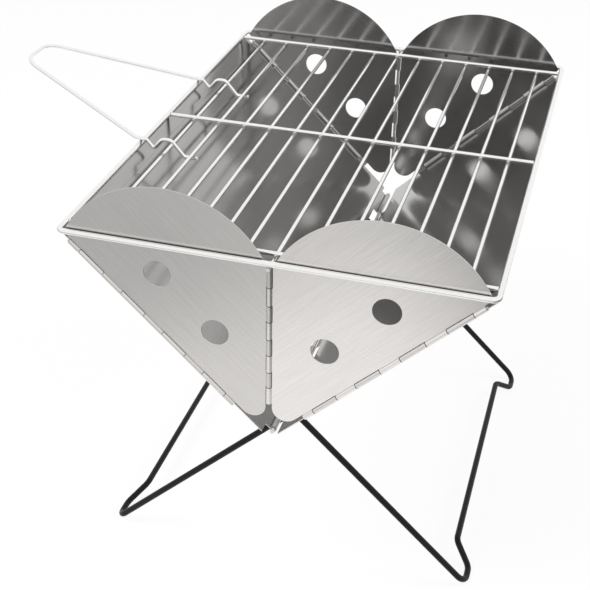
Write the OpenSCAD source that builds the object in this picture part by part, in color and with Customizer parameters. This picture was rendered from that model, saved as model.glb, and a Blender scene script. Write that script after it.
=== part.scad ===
// Folding fire pit: a V trough of hinged stainless panels on two crossed wire legs,
// with a lift-off wire grate and a loose wire lifter.
// +Z up, X across the trough, Y along it, front end at -Y, floor at z = 0.

/* [Trough] */
// Angle of each side panel from the vertical
panel_angle = 46; // [40:1:50]
// Thickness of the panel sheet
sheet_t = 0.6; // [0.5:0.1:0.8]
// Distance from each end of a side panel to its hem
hem_end = 20; // [12:1:30]
// Depth of the folded hem along each side panel's top edge
hem_depth = 10; // [6:1:16]
// Distance from the ridge pin to the lower edge of each side panel
lower_edge = 6; // [5:0.5:12]

/* [End panels] */
// Radius of the round ear on each end panel
ear_r = 71.2; // [68:0.2:74]
// Height of each ear above the grate frame's centre
ear_h = 37; // [30:1:42]
// Radius of the vent holes
vent_r = 8.8; // [5:0.1:10]
// Distance of the outer vent hole from the seam
vent_outer_x = 70; // [64:1:76]
// Depth of the outer vent hole below the grate frame's centre
vent_outer_z = 20.4; // [18:0.2:24]
// Distance of the inner vent hole from the seam
vent_inner_x = 34.3; // [28:0.1:38]
// Depth of the inner vent hole below the grate frame's centre
vent_inner_z = 55.1; // [50:0.1:58]
// Radius of the rounded foot of each end panel
tip_r = 8.5; // [6:0.5:11]

/* [Hinges] */
// Radius of the slanted and upright hinge pins
pin_r = 1.1; // [0.9:0.05:1.2]
// Wall of the rolled hinge knuckles
knuckle_wall = 0.6; // [0.5:0.05:0.65]
// Radius of the ridge pin
ridge_pin_r = 1.5; // [1.2:0.05:1.6]
// Radial running clearance of a pin in its knuckles
pin_fit = 0.05; // [0.03:0.01:0.09]
// Side clearance between neighbouring knuckles
knuckle_gap = 0.5; // [0.4:0.05:0.8]
// Offset of the side panels' sheet outwards from their hinge axes
sheet_out = 1.3; // [0.8:0.05:1.35]
// Clearance around a knuckle in the neighbouring panel's notch
notch_gap = 0.3; // [0.3:0.05:0.6]
// Number of side panel knuckles on each slanted edge
slant_n = 4; // [3:1:4]
// Distance from the apex to the lowest slanted knuckle
slant_start = 32; // [28:0.5:40]
// Distance from the slanted edge's upper end to the highest knuckle
slant_stop = 8.4; // [7:0.1:12]
// Length of a side panel knuckle
slant_len = 19; // [16:0.5:21]
// Number of wide knuckles on each upright seam
seam_n = 4; // [3:1:4]
// Height of the lowest wide seam knuckle's centre above the apex
seam_first = 34; // [33.5:0.1:36]
// Distance from the grate frame's centre down to the highest seam knuckle
seam_stop = 6; // [5.5:0.1:12]
// Length of a wide seam knuckle
seam_len = 12; // [10:0.5:13]
// Distance from each end of the trough to the ridge knuckles
ridge_stop = 10; // [8:0.5:24]
// Number of ridge knuckles on the left side panel
ridge_n = 6; // [4:1:7]
// Length of each ridge knuckle
ridge_len = 34; // [26:1:36]

/* [Grate] */
// Width of the grate over its frame
grate_w = 267; // [255:1:285]
// Length of the grate over its frame
grate_l = 370; // [350:1:400]
// Radius of the frame wire
frame_r = 1.8; // [1.5:0.1:2.1]
// Bend radius of the frame's corners
frame_bend = 4; // [3:0.5:6]
// Radius of the cross bars
bar_r = 1.5; // [1.2:0.1:1.7]
// Distance from the frame's end bars to the inner bars
slot_pitch = 13; // [11:0.5:15]
// Radius of the long wires
wire_r = 1.3; // [1:0.1:1.4]
// Number of long wires
wire_n = 13; // [9:2:15]
// Gap left at touching wires
weld_gap = 0.05; // [0.02:0.01:0.1]
// Gap between the grate frame and the side panels' top edges
seat_gap = 0.3; // [0.2:0.05:0.5]

/* [Lifter] */
// Radius of the lifter's wire
lifter_r = 1.4; // [1.2:0.1:1.5]
// Place of the lifter along the grate
lifter_y = 4.6; // [-20:0.1:10]
// Distance from the lifter's middle to each hook
lifter_half = 57; // [50:1:65]
// Half width of the lifter's closed end
lifter_end_half = 17; // [14:0.5:20]
// Reach of the lifter beyond the grate frame
lifter_reach = 103; // [80:1:120]
// Rise of the lifter's closed end above the grate frame
lifter_rise = 33; // [20:1:50]
// Rise of each hook's hump above the first long wire
hump_rise = 7.8; // [6:0.1:10]
// Half width of each hump's top
hump_half = 3.2; // [2.6:0.1:4.5]
// Reach of each hook's tip past the second long wire
hook_tip = 3; // [2:0.5:8]
// Depth of each hook's dip below the grate frame's centre
dip_depth = 3; // [1:0.1:3.5]
// Bend radius at the lifter's hooks
lifter_bend = 2.2; // [2:0.1:3]
// Bend radius at the tops of the humps
hump_bend = 4.5; // [3:0.1:5]
// Bend radius at the lifter's closed end
lifter_end_bend = 15; // [8:0.5:18]
// Gap between the lifter's hooks and the wires
hook_gap = 0.2; // [0.15:0.05:0.4]

/* [Legs] */
// Radius of the leg wire
leg_r = 2.2; // [1.8:0.1:2.4]
// Distance from the ridge to the tips of the feet along a leg
leg_reach = 188; // [175:1:195]
// Distance from the middle of the trough to the wide leg's arms
leg_half = 137.6; // [130:0.1:142]
// Gap between crossing leg arms
leg_gap = 3.2; // [2.8:0.1:4]
// Distance of each leg's plane below its side panel's hinge axes
leg_offset = 9.3; // [8.6:0.1:11]
// Height of the leg pivots up the side panels from the ridge
pivot_up = 36; // [33:1:40]
// Width of each foot loop
foot_w = 17; // [14:1:22]
// Distance from the foot tips back to the stretcher
foot_depth = 16; // [10:1:24]
// Run of the jog from a foot to the stretcher
jog_run = 13; // [10:1:26]
// Bend radius of the leg wire
leg_bend = 8; // [4:0.5:9]
// Length of the turned-in pivot ends
pivot_len = 20; // [18:1:24]
// Width of each leg clip
clip_w = 9; // [6:0.5:11]
// Wall of the leg clips
clip_wall = 1.2; // [1:0.1:1.4]
// Width of each clip's foot on the side panel
clip_foot = 12; // [10:0.5:16]
// Thickness of each clip's foot
clip_foot_t = 1; // [0.8:0.1:1.4]
// Running clearance of a leg end in its clip
clip_fit = 0.08; // [0.05:0.01:0.1]

/* [Hidden] */
$fn = 64;

steel = [0.74, 0.73, 0.71];
chrome = [0.88, 0.88, 0.87];
black = [0.09, 0.09, 0.09];
sin_a = sin(panel_angle);
cos_a = cos(panel_angle);
frame_x = grate_w / 2 - frame_r;
frame_y = grate_l / 2 - frame_r;
panel_len = frame_x / sin_a;
knuckle_r = pin_r + pin_fit + knuckle_wall;
ridge_knuckle_r = ridge_pin_r + pin_fit + knuckle_wall;
open_gap = 0.3;
end_gap = 0.3;
tab_lap = 1;
clear_r = knuckle_r + notch_gap;
end_y = frame_y - frame_r - end_gap - sheet_t / 2;
ridge_z = leg_reach * cos_a + leg_offset * sin_a + leg_r;
grate_z = ridge_z + panel_len * cos_a + (sheet_t / 2 - sheet_out) * sin_a + seat_gap + frame_r;
grate_up = grate_z - ridge_z;
bar_z = grate_z - frame_r + bar_r;
wire_z = grate_z - frame_r - weld_gap - wire_r;
wire_pitch = 2 * frame_x / (wire_n + 1);
slant_top = panel_len - slant_stop;
slant_pitch = (slant_top - slant_start - 2 * knuckle_gap) / slant_n;
seam_top = grate_up - seam_stop;
seam_bottom = seam_first - seam_len / 2;
seam_pitch = (seam_top + seam_len / 2 + knuckle_gap - seam_first) / seam_n;
ridge_half = end_y - ridge_stop;
ridge_pitch = (2 * ridge_half - ridge_len) / (ridge_n - 1);
ear_x = frame_x / 2;
tip_x = clear_r + tip_r;
tip_z = tip_x / tan(panel_angle / 2);
pin_end = 1;
ridge_pin_end = 3;
ear_z = grate_up + ear_h - ear_r;
cut = 400;

// Stand the trough's own frame, with the ridge pin along Y at its origin, at its height
module at_ridge() {
    translate([0, 0, ridge_z])
        children();
}

// Mirror a right-hand, front piece to its own corner
module corner(sx, sy) {
    mirror([sx < 0 ? 1 : 0, 0, 0])
        mirror([0, sy > 0 ? 1 : 0, 0])
            children();
}

// Extrude a shape drawn in the XZ plane along Y
module along_y(y0, y1) {
    translate([0, y1, 0])
        rotate([90, 0, 0])
            linear_extrude(y1 - y0)
                children();
}

// Put a shape built along +Z onto the slanted axis of the right-hand front corner
module on_slant() {
    translate([0, -end_y, 0])
        rotate([0, panel_angle, 0])
            children();
}

// A round rod between two points
module rod(a, b, r) {
    d = b - a;
    translate(a)
        rotate([0, acos(d[2] / norm(d)), atan2(d[1], d[0])])
            cylinder(h = norm(d), r = r);
}

function unit(v) = v / norm(v);
function turn_at(p, i) = acos(unit(p[i] - p[i - 1]) * unit(p[i + 1] - p[i]));
function set_back(p, bend, i) = bend * tan(turn_at(p, i) / 2);

// Points along a bent wire, each corner rounded to its own bend radius in a number of steps
function bend_points(p, bends, steps) = concat([p[0]],
    [for (i = [1 : len(p) - 2])
        let (d = unit(p[i] - p[i - 1]), n = unit(cross(d, p[i + 1] - p[i])), inward = cross(n, d))
        let (bend = bends[i], c = p[i] - d * set_back(p, bend, i) + inward * bend)
        for (k = [0 : steps])
            c + bend * (d * sin(turn_at(p, i) * k / steps) - inward * cos(turn_at(p, i) * k / steps))],
    [p[len(p) - 1]]);

function tangent(q, i) = unit(q[min(i + 1, len(q) - 1)] - q[max(i - 1, 0)]);
function ring(q, i, r, sides) =
    let (t = tangent(q, i), side = unit(cross([0, 0, 1], t)), up = cross(t, side))
    [for (k = [0 : sides - 1]) q[i] + r * (side * cos(360 * k / sides) + up * sin(360 * k / sides))];

function reversed(p) = [for (i = [len(p) - 1 : -1 : 0]) p[i]];

// A bent wire swept through a list of points, with a bend radius for each
module bent_wire(p, r, bends, steps = 5, sides = 12) {
    q = bend_points(p, bends, steps);
    last = len(q) - 1;
    points = [for (i = [0 : last]) each ring(q, i, r, sides)];
    skin = [for (i = [0 : last - 1], k = [0 : sides - 1])
        let (a = i * sides + k, b = i * sides + (k + 1) % sides)
        each [[a, a + sides, b + sides], [a, b + sides, b]]];
    end = last * sides;
    caps = [for (k = [1 : sides - 2]) each [[0, k, k + 1], [end, end + k + 1, end + k]]];
    polyhedron(points, concat(skin, caps));
}

function slant_at(i) = slant_start + knuckle_gap + slant_pitch * (i + 0.5);
function seam_at(i) = seam_first + seam_pitch * i;
function ridge_from(i) = -ridge_half + ridge_pitch * i;
function ridge_to(i) = ridge_from(i) + ridge_len;

// Upright sheet of a side panel in its own frame, between two widths and two heights
module side_sheet(y0, y1, z0, h) {
    translate([sheet_out - sheet_t / 2, y0, z0])
        cube([sheet_t, y1 - y0, h]);
}

// Right side panel in its own upright frame, without its ridge knuckles
module side_body() {
    inner = end_y - clear_r;
    hem_half = end_y - hem_end;
    side_sheet(-inner, inner, lower_edge, panel_len - lower_edge);
    translate([sheet_out - 1.5 * sheet_t, -hem_half, panel_len - hem_depth])
        cube([1.5 * sheet_t, 2 * hem_half, hem_depth - sheet_t]);
    for (sy = [-1, 1])
        mirror([0, sy > 0 ? 1 : 0, 0])
            for (i = [0 : slant_n - 1]) {
                side_sheet(-end_y, -inner + tab_lap, slant_at(i) - slant_len / 2, slant_len);
                translate([0, -end_y, slant_at(i) - slant_len / 2])
                    cylinder(h = slant_len, r = knuckle_r);
            }
}

// Bores for the slanted pins through a side panel's knuckles
module slant_bores() {
    for (sy = [-1, 1])
        translate([0, sy * end_y, 0])
            cylinder(h = panel_len, r = pin_r + pin_fit);
}

module side_panel_left() {
    color(steel)
        at_ridge()
            mirror([1, 0, 0])
                rotate([0, panel_angle, 0])
                    difference() {
                        union() {
                            side_body();
                            for (i = [0 : ridge_n - 1]) {
                                side_sheet(ridge_from(i), ridge_to(i), 0, lower_edge + tab_lap);
                                translate([0, ridge_from(i), 0])
                                    rotate([-90, 0, 0])
                                        cylinder(h = ridge_len, r = ridge_knuckle_r);
                            }
                        }
                        slant_bores();
                        rotate([90, 0, 0])
                            cylinder(h = cut, r = ridge_pin_r + pin_fit, center = true);
                    }
}

module side_panel_right() {
    color(steel)
        at_ridge()
            rotate([0, panel_angle, 0])
                difference() {
                    union() {
                        tab_foot = ridge_pin_r + open_gap;
                        side_body();
                        for (i = [0 : ridge_n - 2])
                            side_sheet(ridge_to(i) + knuckle_gap, ridge_from(i + 1) - knuckle_gap,
                                tab_foot, lower_edge + tab_lap - tab_foot);
                    }
                    slant_bores();
                }
}

// Outline of the right-hand end panel, seam at x = 0 and apex at the origin
module end_outline() {
    difference() {
        intersection() {
            union() {
                translate([ear_x, ear_z])
                    circle(ear_r);
                polygon([[0, 0], [0, grate_up - frame_r], [frame_x, grate_up - frame_r]]);
            }
            translate([clear_r, 0])
                square(cut);
            rotate(90 - panel_angle)
                translate([0, clear_r])
                    square([cut, cut]);
        }
        polygon([[0, 0], [0, tip_z], [tip_x, tip_z], tip_z * [sin_a, cos_a]]);
        translate([vent_outer_x, grate_up - vent_outer_z])
            circle(vent_r);
        translate([vent_inner_x, grate_up - vent_inner_z])
            circle(vent_r);
    }
}

// Span of one end panel knuckle on a slanted edge, counted from the apex
function end_from(i) = i == 0 ? slant_start : slant_at(i - 1) + slant_len / 2 + knuckle_gap;
function end_to(i) = i == slant_n ? slant_top : slant_at(i) - slant_len / 2 - knuckle_gap;

// Right-hand front end panel: wide picks its set of seam knuckles, open leaves flat tabs instead
module end_panel(wide, open) {
    seam_r = open ? pin_r + open_gap : 0;
    seam_h = wide ? seam_len : seam_pitch - seam_len - 2 * knuckle_gap;
    seam_up = wide ? -seam_len / 2 : seam_len / 2 + knuckle_gap;
    difference() {
        union() {
            along_y(-end_y - sheet_t / 2, -end_y + sheet_t / 2) {
                end_outline();
                translate([tip_x, tip_z])
                    circle(tip_r);
                rotate(90 - panel_angle)
                    for (i = [0 : slant_n])
                        translate([end_from(i), 0])
                            square([end_to(i) - end_from(i), clear_r + tab_lap]);
                for (i = [0 : seam_n - 1])
                    translate([seam_r, seam_at(i) + seam_up])
                        square([clear_r + tab_lap, seam_h]);
            }
            for (i = [0 : slant_n])
                on_slant()
                    translate([0, 0, end_from(i)])
                        cylinder(h = end_to(i) - end_from(i), r = knuckle_r);
            if (!open)
                for (i = [0 : seam_n - 1])
                    translate([0, -end_y, seam_at(i) + seam_up])
                        cylinder(h = seam_h, r = knuckle_r);
        }
        on_slant()
            cylinder(h = panel_len, r = pin_r + pin_fit);
        if (!open)
            translate([0, -end_y, 0])
                cylinder(h = panel_len, r = pin_r + pin_fit);
    }
}

module end_panel_front_left() {
    color(steel)
        at_ridge()
            corner(-1, -1)
                end_panel(false, false);
}

module end_panel_front_right() {
    color(steel)
        at_ridge()
            corner(1, -1)
                end_panel(true, false);
}

module end_panel_back_left() {
    color(steel)
        at_ridge()
            corner(-1, 1)
                end_panel(false, false);
}

module end_panel_back_right() {
    color(steel)
        at_ridge()
            corner(1, 1)
                end_panel(true, true);
}

module slant_pin(sx, sy) {
    color(chrome)
        at_ridge()
            corner(sx, sy)
                on_slant()
                    translate([0, 0, slant_start])
                        cylinder(h = slant_top - slant_start + pin_end, r = pin_r);
}

module slant_pin_front_left() {
    slant_pin(-1, -1);
}

module slant_pin_front_right() {
    slant_pin(1, -1);
}

module slant_pin_back_left() {
    slant_pin(-1, 1);
}

module slant_pin_back_right() {
    slant_pin(1, 1);
}

module seam_pin(sy) {
    color(chrome)
        at_ridge()
            translate([0, sy * end_y, seam_bottom])
                cylinder(h = seam_top - seam_bottom, r = pin_r);
}

module seam_pin_front() {
    seam_pin(-1);
}

module seam_pin_back() {
    seam_pin(1);
}

module ridge_pin() {
    color(chrome)
        at_ridge()
            rotate([90, 0, 0])
                cylinder(h = 2 * (ridge_half + ridge_pin_end), r = ridge_pin_r, center = true);
}

module grate_frame() {
    x = frame_x - frame_bend;
    y = frame_y - frame_bend;
    color(chrome)
        translate([0, 0, grate_z]) {
            for (sy = [-1, 1])
                rod([-x, sy * frame_y, 0], [x, sy * frame_y, 0], frame_r);
            for (sx = [-1, 1])
                rod([sx * frame_x, -y, 0], [sx * frame_x, y, 0], frame_r);
            for (i = [0 : 3])
                translate([i == 0 || i == 3 ? x : -x, i < 2 ? y : -y, 0])
                    rotate(90 * i)
                        rotate_extrude(angle = 90)
                            translate([frame_bend, 0])
                                circle(frame_r);
        }
}

module grate_bar(y) {
    half = frame_x - frame_r - weld_gap;
    color(chrome)
        rod([-half, y, bar_z], [half, y, bar_z], bar_r);
}

module grate_bar_front() {
    grate_bar(-frame_y + slot_pitch);
}

module grate_bar_back() {
    grate_bar(frame_y - slot_pitch);
}

module grate_bar_middle() {
    grate_bar(0);
}

module grate_wires() {
    mid = (wire_n - 1) / 2;
    inner = frame_y - slot_pitch + bar_r;
    color(chrome)
        for (i = [0 : wire_n - 1]) {
            x = (i - mid) * wire_pitch;
            reach = i == mid ? frame_y + frame_r : inner;
            rod([x, -reach, wire_z], [x, reach, wire_z], wire_r);
        }
}

// One side of the lifter from its hook's tip to the closed end, at a place along the grate
function lifter_side(y, end_y) =
    let (first_x = -frame_x + wire_pitch, low_z = wire_z - wire_r - lifter_r - hook_gap)
    let (hump_z = wire_z + hump_rise, over_z = grate_z + frame_r + lifter_r + hook_gap)
    [[first_x + wire_pitch + hook_tip, y, low_z],
        [first_x + wire_pitch - 2 * hump_half, y, low_z],
        [first_x + hump_half, y, hump_z],
        [first_x - hump_half, y, hump_z],
        [first_x - 3 * hump_half, y, grate_z - dip_depth],
        [-frame_x + 2 * frame_r, y, over_z],
        [-frame_x - 2 * frame_r, y, over_z + hook_gap],
        [-frame_x - lifter_reach, end_y, grate_z + lifter_rise]];

module lifter() {
    near = lifter_side(lifter_y - lifter_half, lifter_y - lifter_end_half);
    far = lifter_side(lifter_y + lifter_half, lifter_y + lifter_end_half);
    bends = [lifter_bend, lifter_bend, hump_bend, hump_bend, lifter_bend, lifter_bend, lifter_bend,
        lifter_end_bend];
    color(chrome)
        bent_wire(concat(near, reversed(far)), lifter_r, concat(bends, reversed(bends)));
}

// Stand a leg drawn flat in its own plane, arms along -X from its pivot line, under the left side panel
module under_left() {
    at_ridge()
        mirror([1, 0, 0])
            rotate([0, panel_angle - 90, 0])
                translate([pivot_up, 0, -leg_offset])
                    children();
}

module leg(half) {
    tip = -pivot_up - leg_reach;
    back = tip + foot_depth;
    arm = [[0, half - pivot_len, 0], [0, half, 0], [tip, half, 0], [tip, half - foot_w, 0],
        [back, half - foot_w - jog_run, 0]];
    far = [for (q = reversed(arm)) [q[0], -q[1], 0]];
    color(black)
        bent_wire(concat(arm, far), leg_r, [for (q = concat(arm, far)) leg_bend]);
}

module leg_clips(half) {
    clip_h = leg_offset - sheet_out - sheet_t / 2;
    color(steel)
        for (sy = [-1, 1])
            translate([0, sy * (half - pivot_len + clip_w / 2 + pin_end), 0])
                along_y(-clip_w / 2, clip_w / 2)
                    difference() {
                        union() {
                            circle(leg_r + clip_fit + clip_wall);
                            translate([-clip_wall / 2, 0])
                                square([clip_wall, clip_h]);
                            translate([-clip_foot / 2, clip_h - clip_foot_t])
                                square([clip_foot, clip_foot_t]);
                        }
                        circle(leg_r + clip_fit);
                    }
}

// The right foot leg is the narrow one and hangs from the left side panel
module leg_right() {
    under_left()
        leg(leg_half - 2 * leg_r - leg_gap);
}

module leg_clips_left() {
    under_left()
        leg_clips(leg_half - 2 * leg_r - leg_gap);
}

// The left foot leg is the wide one and hangs from the right side panel
module leg_left() {
    mirror([1, 0, 0])
        under_left()
            leg(leg_half);
}

module leg_clips_right() {
    mirror([1, 0, 0])
        under_left()
            leg_clips(leg_half);
}

side_panel_left();
side_panel_right();
end_panel_front_left();
end_panel_front_right();
end_panel_back_left();
end_panel_back_right();
slant_pin_front_left();
slant_pin_front_right();
slant_pin_back_left();
slant_pin_back_right();
seam_pin_front();
seam_pin_back();
ridge_pin();
grate_frame();
grate_bar_front();
grate_bar_back();
grate_bar_middle();
grate_wires();
lifter();
leg_left();
leg_right();
leg_clips_left();
leg_clips_right();
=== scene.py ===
import math
import bpy
from mathutils import Matrix, Vector


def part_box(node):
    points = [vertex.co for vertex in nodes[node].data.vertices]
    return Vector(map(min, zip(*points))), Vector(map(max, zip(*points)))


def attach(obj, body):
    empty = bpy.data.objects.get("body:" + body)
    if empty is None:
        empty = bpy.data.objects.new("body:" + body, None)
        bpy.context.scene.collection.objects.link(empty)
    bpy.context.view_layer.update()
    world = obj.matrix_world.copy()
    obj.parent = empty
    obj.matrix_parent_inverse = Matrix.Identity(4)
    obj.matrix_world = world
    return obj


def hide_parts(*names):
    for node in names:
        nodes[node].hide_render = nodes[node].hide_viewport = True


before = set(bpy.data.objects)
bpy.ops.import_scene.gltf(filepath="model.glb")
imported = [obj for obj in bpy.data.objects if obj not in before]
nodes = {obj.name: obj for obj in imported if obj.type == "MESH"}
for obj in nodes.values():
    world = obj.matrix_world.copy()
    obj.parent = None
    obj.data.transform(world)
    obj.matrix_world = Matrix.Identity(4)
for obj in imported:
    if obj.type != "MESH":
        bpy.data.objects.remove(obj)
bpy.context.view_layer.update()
scene = bpy.context.scene
scene.view_settings.view_transform = "Standard"
print("frame loaded:", len(nodes), "nodes")

trough = {
    "angle": math.radians(46), "sheetOut": 0.0013, "sheetStop": 0.00205,
    "ridgeZ": sum(c.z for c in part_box("ridge_pin")) / 2,
    "endY": sum(c.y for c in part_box("seam_pin_back")) / 2,
}
sinA = math.sin(trough["angle"])
cosA = math.cos(trough["angle"])

grate = {
    "frameX": 0.1317, "frameY": 0.1832, "frameR": 0.0018, "barR": 0.0015, "wireR": 0.0013,
    "slotPitch": 0.013, "wires": 13, "weldGap": 0.00005,
    "z": sum(c.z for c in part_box("grate_frame")) / 2,
}
grate["barZ"] = grate["z"] - grate["frameR"] + grate["barR"]
grate["wireZ"] = grate["z"] - grate["frameR"] - grate["weldGap"] - grate["wireR"]
grate["pitch"] = 2 * grate["frameX"] / (grate["wires"] + 1)


def link(tree, a, b):
    tree.links.new(a, b)


def feed(tree, socket, value):
    if isinstance(value, bpy.types.NodeSocket):
        link(tree, value, socket)
    else:
        socket.default_value = value


def inputSocket(group, name, kind):
    group.interface.new_socket(name, in_out="INPUT", socket_type=kind)


def outputSocket(group, name, kind):
    group.interface.new_socket(name, in_out="OUTPUT", socket_type=kind)


def combine(tree, operation, a, b):
    node = tree.nodes.new("ShaderNodeMath")
    node.operation = operation
    feed(tree, node.inputs[0], a)
    feed(tree, node.inputs[1], b)
    return node.outputs["Value"]


def combineVectors(tree, operation, a, b):
    node = tree.nodes.new("ShaderNodeVectorMath")
    node.operation = operation
    feed(tree, node.inputs[0], a)
    feed(tree, node.inputs["Scale" if operation == "SCALE" else 1], b)
    return node.outputs["Value" if operation == "DOT_PRODUCT" else "Vector"]


def remap(tree, value, fromRange, toRange, curve="LINEAR"):
    node = tree.nodes.new("ShaderNodeMapRange")
    node.interpolation_type = curve
    for socket, number in zip(("From Min", "From Max", "To Min", "To Max"), (*fromRange, *toRange)):
        node.inputs[socket].default_value = number
    link(tree, value, node.inputs["Value"])
    return node.outputs["Result"]


def objectPlace(tree):
    return tree.nodes.new("ShaderNodeTexCoord").outputs["Object"]


steel = {
    # leftLeaf and litRightLeaf are a shaded and a lit copy of one steel: the left leaf's tone is painted
    # shade, the right leaf's painted light
    "leftLeaf": (0.69, 0.671, 0.654), "litRightLeaf": (0.845, 0.821, 0.801), "side": (0.74, 0.72, 0.702),
    # shadedInsideLeaf and shadedInsideSide are painted shade: darker tones of the same steel for the inside
    # of the trough
    "shadedInsideLeaf": (0.455, 0.446, 0.442), "shadedInsideSide": (0.41, 0.402, 0.398),
    "outsideRough": 0.28, "insideRough": 0.15,
    "grainLong": 40, "grainAcross": 1500, "grainDetail": 4, "grainRoughness": 0.65,
    "grainRange": (0.3, 0.7), "grainShade": (0.94, 1.05), "grainStrength": 0.06, "grainDepth": 0.0004,
    "insideRelief": 0.04, "cloudScale": 11, "cloudDetail": 2, "cloudSwing": 0.06,
}

# reach, samples and tone of the painted shade that darkens the colour in narrow gaps
gaps = {"reach": 0.0014, "samples": 8, "range": (0.2, 0.85), "tone": 0.2}

speckle = {"detail": 3, "strength": 0.5, "depth": 0.0001}

smooth = {
    "pin": {"tone": (0.72, 0.71, 0.69), "metallic": 1, "gloss": 0.5,
            "roughness": 0.25, "scale": 600, "unevenness": 0.15},
    "clip": {"tone": steel["side"], "metallic": 1, "gloss": 0.5,
             "roughness": 0.35, "scale": 400, "unevenness": 0.2},
    "chrome": {"tone": (0.88, 0.88, 0.87), "metallic": 1, "gloss": 0.5,
               "roughness": 0.16, "scale": 300, "unevenness": 0.12},
    "coat": {"tone": (0.004, 0.004, 0.0045), "metallic": 0, "gloss": 0.22,
             "roughness": 0.4, "scale": 1200, "unevenness": 0.5},
}

surfaceSockets = (
    ("Color", "NodeSocketColor", "Base Color"),
    ("Roughness", "NodeSocketFloat", "Roughness"),
    ("Normal", "NodeSocketVector", "Normal"),
)


def surfaceGroup(name, inputs):
    group = bpy.data.node_groups.new(name, "ShaderNodeTree")
    for socketName, kind in inputs:
        inputSocket(group, socketName, kind)
    for socketName, kind, _ in surfaceSockets:
        outputSocket(group, socketName, kind)
    return group, group.nodes.new("NodeGroupInput").outputs, group.nodes.new("NodeGroupOutput").inputs


def makeGapShadeGroup():
    group = bpy.data.node_groups.new("creviceShade", "ShaderNodeTree")
    inputSocket(group, "Tone", "NodeSocketColor")
    outputSocket(group, "Color", "NodeSocketColor")
    entry = group.nodes.new("NodeGroupInput").outputs
    leave = group.nodes.new("NodeGroupOutput").inputs
    gap = group.nodes.new("ShaderNodeAmbientOcclusion")  # painted shade: darkens the colour in the narrow gaps of the hinges, where shade falls
    gap.samples = gaps["samples"]
    gap.inputs["Distance"].default_value = gaps["reach"]
    dark = remap(group, gap.outputs["AO"], gaps["range"], (gaps["tone"], 1))
    link(group, combineVectors(group, "SCALE", entry["Tone"], dark), leave["Color"])
    return group


def shadeGaps(group, color):
    shaded = group.nodes.new("ShaderNodeGroup")
    shaded.node_tree = gapShade
    link(group, color, shaded.inputs["Tone"])
    return shaded.outputs["Color"]


def addNoise(group, place, scale, detail):
    noise = group.nodes.new("ShaderNodeTexNoise")
    noise.inputs["Detail"].default_value = detail
    feed(group, noise.inputs["Scale"], scale)
    link(group, place, noise.inputs["Vector"])
    return noise


def addBump(group, height, strength, depth):
    bump = group.nodes.new("ShaderNodeBump")
    bump.inputs["Strength"].default_value = strength
    bump.inputs["Distance"].default_value = depth
    link(group, height, bump.inputs["Height"])
    return bump.outputs["Normal"]


def makeBrushedGroup():
    group, entry, leave = surfaceGroup("brushedMetal", (
        ("Tone", "NodeSocketColor"), ("Angle", "NodeSocketFloat"), ("Stretch", "NodeSocketVector"),
        ("Roughness", "NodeSocketFloat"), ("Inside Painted Shade", "NodeSocketColor"),
        ("Inside Roughness", "NodeSocketFloat"), ("Outward", "NodeSocketVector"),
        ("Middle", "NodeSocketFloat"), ("Half Length", "NodeSocketFloat")))
    n = group.nodes
    place = objectPlace(group)
    turn = n.new("ShaderNodeVectorRotate")
    turn.rotation_type = "Y_AXIS"
    link(group, place, turn.inputs["Vector"])
    link(group, entry["Angle"], turn.inputs["Angle"])
    stretched = combineVectors(group, "MULTIPLY", turn.outputs["Vector"], entry["Stretch"])
    grain = addNoise(group, stretched, 1, steel["grainDetail"])
    grain.inputs["Roughness"].default_value = steel["grainRoughness"]
    cloud = addNoise(group, place, steel["cloudScale"], steel["cloudDetail"])

    # Both halves of the trough share one test for the inside, whose darker tone is painted shade, and
    # knuckles past the sheet's ends keep the outer finish
    centred = combineVectors(group, "SUBTRACT", place, (0, 0, trough["ridgeZ"]))
    fold = n.new("ShaderNodeVectorMath")
    fold.operation = "ABSOLUTE"
    link(group, centred, fold.inputs[0])
    folded = fold.outputs["Vector"]
    axes = n.new("ShaderNodeSeparateXYZ")
    link(group, folded, axes.inputs["Vector"])
    depth = combineVectors(group, "DOT_PRODUCT", folded, entry["Outward"])
    within = combine(group, "LESS_THAN", depth, entry["Middle"])
    short = combine(group, "LESS_THAN", axes.outputs["Y"], entry["Half Length"])
    inner = combine(group, "MULTIPLY", within, short)

    # inside the trough the tone switches to the darker painted inside shade
    face = n.new("ShaderNodeMix")
    face.data_type = "RGBA"
    link(group, inner, face.inputs["Factor"])
    link(group, entry["Tone"], face.inputs[6])
    link(group, entry["Inside Painted Shade"], face.inputs[7])
    shade = remap(group, grain.outputs["Fac"], steel["grainRange"], steel["grainShade"])
    tone = combineVectors(group, "SCALE", face.outputs[2], shade)
    # the steel's colour is darkened in narrow gaps by painted shade
    link(group, shadeGaps(group, tone), leave["Color"])

    satin = n.new("ShaderNodeMix")
    link(group, inner, satin.inputs["Factor"])
    link(group, entry["Roughness"], satin.inputs[2])
    link(group, entry["Inside Roughness"], satin.inputs[3])
    vary = remap(group, cloud.outputs["Fac"], (0, 1), (-steel["cloudSwing"], steel["cloudSwing"]))
    link(group, combine(group, "ADD", satin.outputs[0], vary), leave["Roughness"])

    relief = remap(group, inner, (0, 1), (1, steel["insideRelief"]))
    height = combine(group, "MULTIPLY", grain.outputs["Fac"], relief)
    link(group, addBump(group, height, steel["grainStrength"], steel["grainDepth"]), leave["Normal"])
    return group


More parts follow.
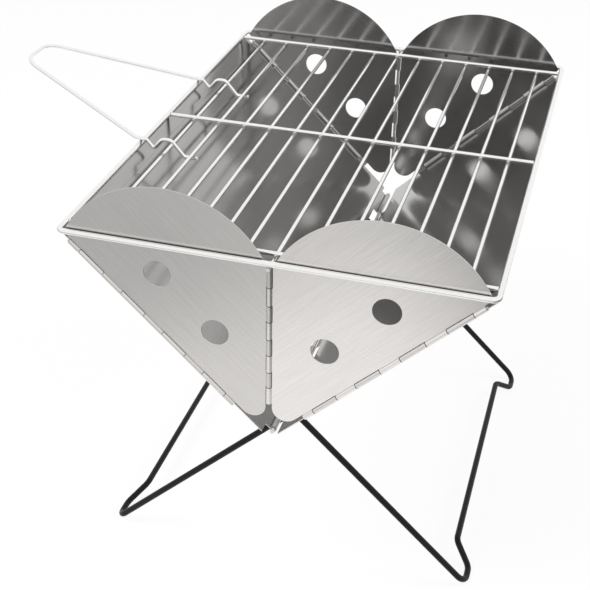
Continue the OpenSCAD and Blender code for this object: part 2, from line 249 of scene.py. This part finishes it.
def makeSpeckleGroup():
    group, entry, leave = surfaceGroup("fineSpeckle", (
        ("Tone", "NodeSocketColor"), ("Roughness", "NodeSocketFloat"),
        ("Scale", "NodeSocketFloat"), ("Unevenness", "NodeSocketFloat")))
    noise = addNoise(group, objectPlace(group), entry["Scale"], speckle["detail"])
    swing = combine(group, "SUBTRACT", noise.outputs["Fac"], 0.5)  # about zero
    amount = combine(group, "MULTIPLY", swing, entry["Unevenness"])
    tone = combineVectors(group, "SCALE", entry["Tone"], combine(group, "ADD", amount, 1))
    # the smooth parts' colour is darkened in narrow gaps by the same painted shade
    link(group, shadeGaps(group, tone), leave["Color"])
    link(group, combine(group, "ADD", entry["Roughness"], amount), leave["Roughness"])
    link(group, addBump(group, amount, speckle["strength"], speckle["depth"]), leave["Normal"])
    return group


def newMaterial(name):
    material = bpy.data.materials.new(name)
    material.use_nodes = True
    return material, material.node_tree, material.node_tree.nodes["Principled BSDF"]


def makeFinish(name, group, values, metallic, gloss=0.5):
    material, tree, shader = newMaterial(name)
    skin = tree.nodes.new("ShaderNodeGroup")
    skin.node_tree = group
    for socket, value in values.items():
        skin.inputs[socket].default_value = value
    shader.inputs["Metallic"].default_value = metallic
    shader.inputs["Specular IOR Level"].default_value = gloss
    for socket, _, target in surfaceSockets:
        link(tree, skin.outputs[socket], shader.inputs[target])
    return material


def makeSteel(name, tone, inside, angle, stretch, outward, middle, halfLength=1):
    # tone may be a painted lit or shaded copy of the steel; inside is the painted shade tone for the trough's
    # inner faces
    return makeFinish(name, brushed, {
        "Tone": (*tone, 1), "Inside Painted Shade": (*inside, 1), "Angle": angle, "Stretch": stretch,
        "Roughness": steel["outsideRough"], "Inside Roughness": steel["insideRough"],
        "Outward": outward, "Middle": middle, "Half Length": halfLength}, 1)


def makeSmooth(name, finish):
    return makeFinish(name, speckled, {
        "Tone": (*finish["tone"], 1), "Roughness": finish["roughness"], "Scale": finish["scale"],
        "Unevenness": finish["unevenness"]}, finish["metallic"], finish["gloss"])


gapShade = makeGapShadeGroup()
brushed = makeBrushedGroup()
speckled = makeSpeckleGroup()
acrossGrain = (steel["grainLong"], steel["grainAcross"], steel["grainAcross"])
alongGrain = (steel["grainAcross"], steel["grainLong"], steel["grainAcross"])
leftTurn = trough["angle"] - math.pi / 2
endOut = (0, 1, 0)
sideOut = (cosA, 0, -sinA)
paint = {
    # the two end leaves get the shaded and the lit copy of the same steel tone
    "leftLeaf": makeSteel("leftLeafSteel", steel["leftLeaf"], steel["shadedInsideLeaf"], leftTurn, acrossGrain,
                          endOut, trough["endY"]),
    "litRightLeaf": makeSteel("litRightLeafSteel", steel["litRightLeaf"], steel["shadedInsideLeaf"], -leftTurn, acrossGrain,
                           endOut, trough["endY"]),
    "side": makeSteel("sideSteel", steel["side"], steel["shadedInsideSide"], 0, alongGrain,
                      sideOut, trough["sheetOut"], trough["endY"] - trough["sheetStop"]),
    "pin": makeSmooth("pinSteel", smooth["pin"]),
    "clip": makeSmooth("clipSteel", smooth["clip"]),
    "chrome": makeSmooth("gratePlating", smooth["chrome"]),
    "coat": makeSmooth("legCoating", smooth["coat"]),
}


def paintFor(name):
    if name.startswith("end_panel"):
        return paint["leftLeaf" if name.endswith("left") else "litRightLeaf"]
    if name.startswith("side_panel"):
        return paint["side"]
    if "pin" in name:
        return paint["pin"]
    if "clips" in name:
        return paint["clip"]
    return paint["chrome" if name.startswith(("grate", "lifter")) else "coat"]


for name, node in nodes.items():
    node.data.materials.clear()
    node.data.materials.append(paintFor(name))
print("materials set")

wireMesh = {"bendSteps": 10, "sides": 20}


def finishMesh(group, geometry, material):
    smoothed = group.nodes.new("GeometryNodeSetShadeSmooth")
    link(group, geometry, smoothed.inputs[0])
    cover = group.nodes.new("GeometryNodeSetMaterial")
    link(group, smoothed.outputs[0], cover.inputs["Geometry"])
    link(group, material, cover.inputs["Material"])
    leave = group.nodes.new("NodeGroupOutput")
    link(group, cover.outputs["Geometry"], leave.inputs[0])


def makeSweepGroup():
    group = bpy.data.node_groups.new("bentWire", "GeometryNodeTree")
    inputSocket(group, "Path", "NodeSocketGeometry")
    inputSocket(group, "Radius", "NodeSocketFloat")
    inputSocket(group, "Material", "NodeSocketMaterial")
    outputSocket(group, "Wire", "NodeSocketGeometry")
    n = group.nodes
    entry = n.new("NodeGroupInput").outputs
    fillet = n.new("GeometryNodeFilletCurve")
    fillet.mode = "POLY"
    fillet.inputs["Count"].default_value = wireMesh["bendSteps"]
    fillet.inputs["Limit Radius"].default_value = True
    link(group, entry["Path"], fillet.inputs["Curve"])
    bend = n.new("GeometryNodeInputRadius")  # each corner's own bend is stored as its point radius
    link(group, bend.outputs["Radius"], fillet.inputs["Radius"])
    even = n.new("GeometryNodeSetCurveRadius")
    even.inputs["Radius"].default_value = 1
    link(group, fillet.outputs["Curve"], even.inputs["Curve"])
    ring = n.new("GeometryNodeCurvePrimitiveCircle")
    ring.inputs["Resolution"].default_value = wireMesh["sides"]
    link(group, entry["Radius"], ring.inputs["Radius"])
    skin = n.new("GeometryNodeCurveToMesh")
    skin.inputs["Fill Caps"].default_value = True
    link(group, even.outputs["Curve"], skin.inputs["Curve"])
    link(group, ring.outputs["Curve"], skin.inputs["Profile Curve"])
    finishMesh(group, skin.outputs["Mesh"], entry["Material"])
    return group


def grow(name, data, group, values):
    source = bpy.data.objects.new(name + "Source", data)
    scene.collection.objects.link(source)
    grown = source.modifiers.new("grow", "NODES")
    grown.node_group = group
    sockets = {i.name: i.identifier for i in group.interface.items_tree if i.item_type == "SOCKET"}
    for key, value in values.items():
        grown[sockets[key]] = value
    bpy.context.view_layer.update()
    made = source.evaluated_get(bpy.context.evaluated_depsgraph_get())
    mesh = bpy.data.meshes.new_from_object(made)
    source.modifiers.clear()
    bpy.data.objects.remove(source)
    piece = bpy.data.objects.new(name, mesh)
    scene.collection.objects.link(piece)
    return piece


def pathCurve(name, points, bends):
    curve = bpy.data.curves.new(name, "CURVE")
    curve.dimensions = "3D"
    line = curve.splines.new("POLY")
    line.points.add(len(points) - 1)
    for spot, p, bend in zip(line.points, points, bends):
        spot.co = (*p, 1)
        spot.radius = bend
    return curve


sweep = makeSweepGroup()

legs = {
    "radius": 0.0022, "reach": 0.188, "half": 0.1376, "inset": 0.0076, "offset": 0.0093, "pivotUp": 0.036,
    "footWidth": 0.017, "footDepth": 0.016, "jogRun": 0.013, "pivotLen": 0.02, "bend": 0.008,
}


def legRoute(half, footSide):
    tip = -legs["pivotUp"] - legs["reach"]
    back = tip + legs["footDepth"]
    inner = half - legs["footWidth"]
    arm = [(0, half - legs["pivotLen"]), (0, half), (tip, half), (tip, inner), (back, inner - legs["jogRun"])]
    flat = arm + [(x, -y) for x, y in reversed(arm)]
    route = []
    for x, y in flat:
        up = legs["pivotUp"] + x
        side = up * sinA + legs["offset"] * cosA
        route.append((-footSide * side, y, trough["ridgeZ"] + up * cosA - legs["offset"] * sinA))
    return route


legJobs = (("legLeftWire", "leg_left", "left_leg", legs["half"], -1),
           ("legRightWire", "leg_right", "right_leg", legs["half"] - legs["inset"], 1))
for pieceName, cadName, body, half, footSide in legJobs:
    route = legRoute(half, footSide)
    path = pathCurve(pieceName, route, [legs["bend"]] * len(route))
    wire = grow(pieceName, path, sweep, {"Radius": legs["radius"], "Material": paint["coat"]})
    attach(wire, body)
    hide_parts(cadName)
print("legs made")

lifter = {
    "radius": 0.0014, "y": 0.0046, "half": 0.057, "endHalf": 0.017, "reach": 0.103, "rise": 0.033,
    "hump": 0.0078, "humpHalf": 0.0032, "dip": 0.003, "tip": 0.003, "gap": 0.0002,
    "bend": 0.0022, "humpBend": 0.0045, "endBend": 0.015,
}


def lifterSide(y, endY):
    firstX = -grate["frameX"] + grate["pitch"]
    r, hump = lifter["radius"], lifter["humpHalf"]
    lowZ = grate["wireZ"] - grate["wireR"] - r - lifter["gap"]
    humpZ = grate["wireZ"] + lifter["hump"]
    overZ = grate["z"] + grate["frameR"] + r + lifter["gap"]
    return [
        (firstX + grate["pitch"] + lifter["tip"], y, lowZ),
        (firstX + grate["pitch"] - 2 * hump, y, lowZ),
        (firstX + hump, y, humpZ),
        (firstX - hump, y, humpZ),
        (firstX - 3 * hump, y, grate["z"] - lifter["dip"]),
        (-grate["frameX"] + 2 * grate["frameR"], y, overZ),
        (-grate["frameX"] - 2 * grate["frameR"], y, overZ + lifter["gap"]),
        (-grate["frameX"] - lifter["reach"], endY, grate["z"] + lifter["rise"]),
    ]


near = lifterSide(lifter["y"] - lifter["half"], lifter["y"] - lifter["endHalf"])
far = lifterSide(lifter["y"] + lifter["half"], lifter["y"] + lifter["endHalf"])
sideBends = [lifter["bend"]] * 2 + [lifter["humpBend"]] * 2 + [lifter["bend"]] * 3 + [lifter["endBend"]]
lifterPath = pathCurve("lifterWire", near + far[::-1], sideBends + sideBends[::-1])
lifterWire = grow("lifterWire", lifterPath, sweep, {"Radius": lifter["radius"], "Material": paint["chrome"]})
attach(lifterWire, "lifter")
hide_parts("lifter")
print("lifter made")

bead = {"radius": 0.00125, "flatness": (1, 1, 0.65), "segments": 14, "rings": 8}


def makeBeadGroup():
    group = bpy.data.node_groups.new("weldBeads", "GeometryNodeTree")
    inputSocket(group, "Places", "NodeSocketGeometry")
    inputSocket(group, "Radius", "NodeSocketFloat")
    inputSocket(group, "Flatness", "NodeSocketVector")
    inputSocket(group, "Material", "NodeSocketMaterial")
    outputSocket(group, "Beads", "NodeSocketGeometry")
    n = group.nodes
    entry = n.new("NodeGroupInput").outputs
    ball = n.new("GeometryNodeMeshUVSphere")
    ball.inputs["Segments"].default_value = bead["segments"]
    ball.inputs["Rings"].default_value = bead["rings"]
    link(group, entry["Radius"], ball.inputs["Radius"])
    points = n.new("GeometryNodeMeshToPoints")
    link(group, entry["Places"], points.inputs["Mesh"])
    put = n.new("GeometryNodeInstanceOnPoints")
    link(group, points.outputs["Points"], put.inputs["Points"])
    link(group, ball.outputs["Mesh"], put.inputs["Instance"])
    link(group, entry["Flatness"], put.inputs["Scale"])
    real = n.new("GeometryNodeRealizeInstances")
    link(group, put.outputs["Instances"], real.inputs["Geometry"])
    finishMesh(group, real.outputs["Geometry"], entry["Material"])
    return group


def pointMesh(name, points):
    mesh = bpy.data.meshes.new(name)
    mesh.from_pydata([tuple(p) for p in points], [], [])
    return mesh


middle = (grate["wires"] - 1) // 2
seamZ = grate["barZ"] - grate["barR"] - grate["weldGap"] / 2
innerY = grate["frameY"] - grate["slotPitch"]
barPlaces = (-innerY, 0, innerY)
endX = grate["frameX"] - grate["frameR"]
welds = [((i - middle) * grate["pitch"], y, seamZ) for i in range(grate["wires"]) for y in barPlaces]
welds += [(0, s * grate["frameY"], seamZ) for s in (-1, 1)]
welds += [(s * endX, y, grate["barZ"]) for s in (-1, 1) for y in barPlaces]
beads = grow("grateWelds", pointMesh("grateWelds", welds), makeBeadGroup(),
             {"Radius": bead["radius"], "Flatness": bead["flatness"], "Material": paint["chrome"]})
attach(beads, "grate")
print("welds made:", len(welds))

studio = {
    "white": (1, 1, 1, 1), "worldStrength": 0.62,
    "floorHalf": 6, "floorTone": (0.95, 0.95, 0.95, 1), "floorShare": 0.9,
    "leftFall": {"way": (0.8, 0.6, 0), "start": -0.32, "end": -0.54, "tone": 0.5},
    "rightFall": {"way": (-0.9, 0.45, 0), "start": -0.29, "end": -0.4, "tone": 0.05},
    "farWhite": {"way": (0, -1, 0), "start": 1.15, "end": 0.85, "tone": 0},
    "target": (0, 0, 0.2), "lampSize": 0.9,
    "lamps": {"keyLamp": {"place": (-0.9, -0.7, 1.5), "power": 17},
              "fillLamp": {"place": (1.2, 0.3, 1.2), "power": 10}},
}


def seenDirectly(tree):
    path = tree.nodes.new("ShaderNodeLightPath").outputs
    plain = combine(tree, "MAXIMUM", path["Is Camera Ray"], path["Is Glossy Ray"])
    return combine(tree, "MAXIMUM", plain, path["Is Transmission Ray"])


def makeWorld():
    world = bpy.data.worlds.new("studio")
    scene.world = world
    world.use_nodes = True
    tree = world.node_tree
    tree.nodes.clear()
    pick = tree.nodes.new("ShaderNodeMixShader")
    link(tree, seenDirectly(tree), pick.inputs["Fac"])
    for socket, strength in ((1, studio["worldStrength"]), (2, 1)):
        sky = tree.nodes.new("ShaderNodeBackground")
        sky.inputs["Color"].default_value = studio["white"]
        sky.inputs["Strength"].default_value = strength
        link(tree, sky.outputs["Background"], pick.inputs[socket])
    out = tree.nodes.new("ShaderNodeOutputWorld")
    link(tree, pick.outputs["Shader"], out.inputs["Surface"])


def floorFade(tree, fall):
    along = combineVectors(tree, "DOT_PRODUCT", objectPlace(tree), fall["way"])
    return remap(tree, along, (fall["end"], fall["start"]), (fall["tone"], 1), "SMOOTHSTEP")


def floorGlow(tree):
    left, right = floorFade(tree, studio["leftFall"]), floorFade(tree, studio["rightFall"])
    local = tree.nodes.new("ShaderNodeMix")  # far out the floor is white again
    local.inputs[3].default_value = 1
    link(tree, floorFade(tree, studio["farWhite"]), local.inputs["Factor"])
    link(tree, combine(tree, "MULTIPLY", left, right), local.inputs[2])
    path = tree.nodes.new("ShaderNodeLightPath")  # only the metal's mirror image sees the floor grey
    return combine(tree, "MAXIMUM", local.outputs[0], path.outputs["Is Camera Ray"])


def makeFloor():
    half = studio["floorHalf"]
    mesh = bpy.data.meshes.new("floor")
    corners = [(-half, -half, 0), (half, -half, 0), (half, half, 0), (-half, half, 0)]
    mesh.from_pydata(corners, [], [(0, 1, 2, 3)])
    floor = bpy.data.objects.new("floor", mesh)
    scene.collection.objects.link(floor)
    material, tree, shader = newMaterial("paleFloor")
    tree.nodes.remove(shader)
    matte = tree.nodes.new("ShaderNodeBsdfDiffuse")
    matte.inputs["Color"].default_value = studio["floorTone"]
    glow = tree.nodes.new("ShaderNodeEmission")
    link(tree, floorGlow(tree), glow.inputs["Strength"])
    blend = tree.nodes.new("ShaderNodeMixShader")
    link(tree, combine(tree, "MULTIPLY", seenDirectly(tree), studio["floorShare"]), blend.inputs["Fac"])
    link(tree, matte.outputs["BSDF"], blend.inputs[1])
    link(tree, glow.outputs["Emission"], blend.inputs[2])
    link(tree, blend.outputs["Shader"], tree.nodes["Material Output"].inputs["Surface"])
    mesh.materials.append(material)


def makeLamp(name, place, power):
    lamp = bpy.data.lights.new(name, "AREA")
    lamp.shape = "DISK"
    lamp.size = studio["lampSize"]
    lamp.energy = power
    holder = bpy.data.objects.new(name, lamp)
    holder.location = place
    holder.rotation_euler = (Vector(studio["target"]) - Vector(place)).to_track_quat("-Z", "Y").to_euler()
    holder.visible_glossy = False  # the metal mirrors the white room, not the lamps
    scene.collection.objects.link(holder)


makeWorld()
makeFloor()
for name, lamp in studio["lamps"].items():
    makeLamp(name, lamp["place"], lamp["power"])
print("studio made")

view = {
    "place": (0.17308, -0.75092, 0.61553), "azimuth": math.radians(-15.463),
    "elevation": math.radians(31.803), "roll": math.radians(1.159), "lens": 73.36, "sensor": 36,
}
camera = bpy.data.cameras.new("photoCamera")
camera.lens = view["lens"]
camera.sensor_width = view["sensor"]
camera.dof.use_dof = False
cameraHolder = bpy.data.objects.new("photoCamera", camera)
scene.collection.objects.link(cameraHolder)
az, el, roll = view["azimuth"], view["elevation"], view["roll"]
forward = Vector((math.sin(az) * math.cos(el), math.cos(az) * math.cos(el), -math.sin(el)))
right = Vector((math.cos(az), -math.sin(az), 0))
up = right.cross(forward)
turnedRight = math.cos(roll) * right + math.sin(roll) * up
turnedUp = -math.sin(roll) * right + math.cos(roll) * up
cameraHolder.matrix_world = Matrix.Translation(view["place"]) @ Matrix(
    (turnedRight, turnedUp, -forward)).transposed().to_4x4()
scene.camera = cameraHolder
print("camera set")
